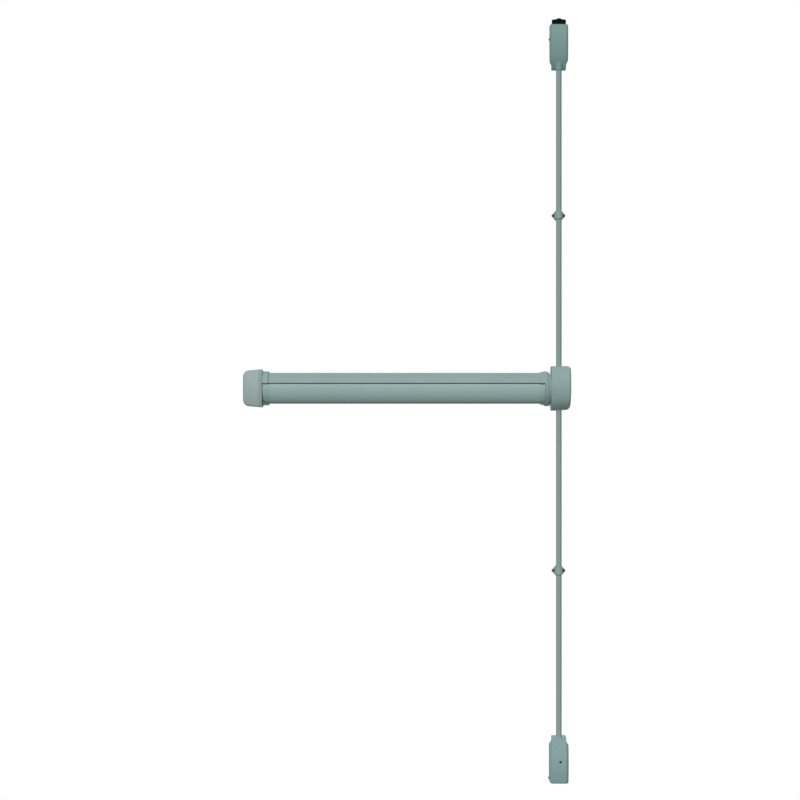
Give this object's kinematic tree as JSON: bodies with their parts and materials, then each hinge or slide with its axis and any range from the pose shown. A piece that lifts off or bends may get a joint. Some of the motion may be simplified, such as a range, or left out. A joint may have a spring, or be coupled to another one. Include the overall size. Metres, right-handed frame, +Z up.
{
  "type": "panic exit bar",
  "caption": "Surface-mounted panic exit bar for a door: a sprung push pad in a rail works a rocker in a vertical head, which draws in an upper and a lower rod with latch bolts.",
  "frame": {"origin": "back face of the head's base plate, on the door's face, where the rods' axis crosses the bar's axis", "axes": "+X to the right along the push bar seen from the front, +Y from the device into the door, +Z up along the rods"},
  "size_m": [0.8674, 0.068, 2.0316],
  "materials": {
    "painted_cover": "satin silver effect paint, slightly green",
    "painted_rail": "satin silver effect paint, slightly green",
    "painted_pad": "satin silver effect paint, slightly green",
    "pad_cap_plastic": "matt grey plastic in the paint's colour",
    "painted_rod": "satin silver effect paint, slightly green",
    "black_bolt": "matt black",
    "plated_steel": "zinc plated",
    "spring_steel": "bright drawn wire",
    "dark_screws": "blackened steel"
  },
  "bodies": {
    "frame": {"chassis_rail": "painted_rail", "rail_end_frame_left": "painted_cover", "rail_end_frame_right": "painted_cover", "left_end_cover": "painted_cover", "left_end_bracket": "plated_steel", "head_cover": "painted_cover", "head_base_plate": "plated_steel", "head_cover_screw": "dark_screws", "crank_bracket_left": "plated_steel", "crank_bracket_right": "plated_steel", "crank_pivot_left": "plated_steel", "crank_pivot_right": "plated_steel", "spring_seat": "plated_steel", "rocker_pivot": "plated_steel", "rod_guide_upper": "painted_cover", "rod_guide_lower": "painted_cover", "guide_screw_upper_left": "dark_screws", "guide_screw_upper_right": "dark_screws", "guide_screw_lower_left": "dark_screws", "guide_screw_lower_right": "dark_screws", "top_latch_case": "painted_cover", "top_latch_base_plate": "plated_steel", "top_latch_side_screw": "dark_screws", "bottom_latch_case": "painted_cover", "bottom_latch_base_plate": "plated_steel", "bottom_latch_side_screw": "dark_screws", "bottom_latch_front_screw": "dark_screws"},
    "pad": {"push_pad": "painted_pad", "pad_end_cap_left": "pad_cap_plastic", "pad_end_cap_right": "pad_cap_plastic", "pad_bracket_left": "plated_steel", "pad_bracket_right": "plated_steel", "pad_pin_left": "plated_steel", "pad_pin_right": "plated_steel"},
    "crank_left": {"bell_crank_left": "plated_steel"},
    "crank_right": {"bell_crank_right": "plated_steel"},
    "actuator": {"actuator_bar": "plated_steel", "actuator_pin_left": "plated_steel", "actuator_pin_right": "plated_steel", "drive_plate": "plated_steel", "drive_rivet_left": "plated_steel", "drive_rivet_right": "plated_steel", "spring_collar": "plated_steel", "return_spring": "spring_steel"},
    "rocker": {"rocker": "plated_steel", "rocker_pin_left": "plated_steel", "rocker_pin_right": "plated_steel", "rocker_drive_pin": "plated_steel"},
    "upper_rod": {"upper_slide": "plated_steel", "upper_rod": "painted_rod", "upper_rod_adjuster": "plated_steel", "top_bolt": "black_bolt", "top_bolt_spring": "spring_steel"},
    "lower_rod": {"lower_slide": "plated_steel", "lower_rod": "painted_rod", "lower_rod_adjuster": "plated_steel", "bottom_bolt": "black_bolt", "bottom_bolt_spring": "spring_steel"}
  },
  "joints": [
    {"name": "pad_push", "type": "slide", "parent": "frame", "child": "pad", "axis": [0, 1, 0], "range_m": [0, 0.014], "stiffness_N_per_m": 1500, "springref_m": -0.01},
    {"name": "crank_left_turn", "type": "hinge", "parent": "frame", "child": "crank_left", "pos_m": [-0.64, -0.029, 0], "axis": [0, 0, 1], "range_deg": [-40, 0]},
    {"name": "crank_right_turn", "type": "hinge", "parent": "frame", "child": "crank_right", "pos_m": [-0.15, -0.029, 0], "axis": [0, 0, 1], "range_deg": [-40, 0]},
    {"name": "actuator_slide", "type": "slide", "parent": "frame", "child": "actuator", "axis": [1, 0, 0], "range_m": [0, 0.012], "deforming": ["return_spring"]},
    {"name": "rocker_turn", "type": "hinge", "parent": "frame", "child": "rocker", "pos_m": [0, -0.0135, 0], "axis": [0, 1, 0], "range_deg": [-60, 0]},
    {"name": "upper_rod_slide", "type": "slide", "parent": "frame", "child": "upper_rod", "axis": [0, 0, -1], "range_m": [0, 0.02], "deforming": ["top_bolt_spring"]},
    {"name": "lower_rod_slide", "type": "slide", "parent": "frame", "child": "lower_rod", "axis": [0, 0, 1], "range_m": [0, 0.02], "deforming": ["bottom_bolt_spring"]}
  ],
  "couplings": [
    {"joint": "crank_left_turn", "follows": "pad_push", "rad_per_m": -49.867},
    {"joint": "crank_right_turn", "follows": "pad_push", "rad_per_m": -49.867},
    {"joint": "actuator_slide", "follows": "pad_push", "ratio": 0.85714},
    {"joint": "rocker_turn", "follows": "pad_push", "rad_per_m": -74.8},
    {"joint": "upper_rod_slide", "follows": "pad_push", "ratio": 1.4286},
    {"joint": "lower_rod_slide", "follows": "pad_push", "ratio": 1.4286}
  ]
}
